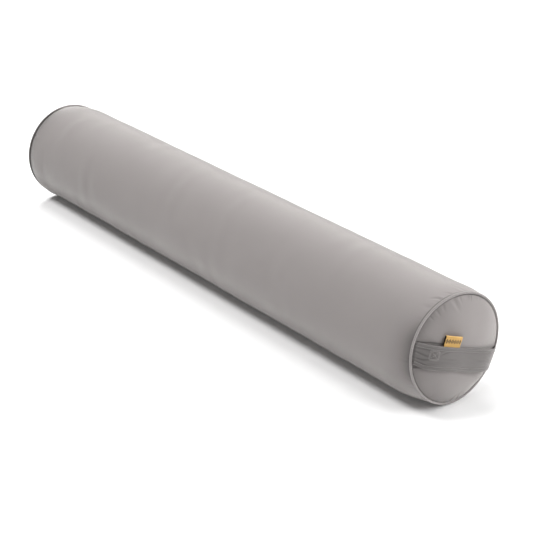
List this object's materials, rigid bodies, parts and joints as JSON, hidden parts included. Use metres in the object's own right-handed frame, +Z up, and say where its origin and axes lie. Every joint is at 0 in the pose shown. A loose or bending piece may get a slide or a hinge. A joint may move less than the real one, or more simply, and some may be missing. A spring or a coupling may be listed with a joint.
{
  "type": "body pillow",
  "caption": "Long round bolster body pillow lying on its side: firm filled tube, piped domed round ends, a flat carry strap across one end and a small side tag.",
  "frame": {"origin": "middle of the flat underside, halfway between the two end seams", "axes": "+X along the pillow towards its strapped end, +Z up, +Y to its left seen from the strapped end"},
  "size_m": [1.2363, 0.2, 0.1978],
  "materials": {
    "cloth": "smooth grey cotton sateen",
    "piping": "the same cloth cut on the bias round a cord",
    "strap": "folded and edge-stitched grey cotton",
    "tag": "smooth mustard tag with dark edges"
  },
  "bodies": {
    "root": {"tube_body": "cloth", "end_panel_front": "cloth", "end_panel_back": "cloth", "piping_front": "piping", "piping_back": "piping", "carry_strap": "strap", "side_tag": "tag"}
  },
  "joints": []
}
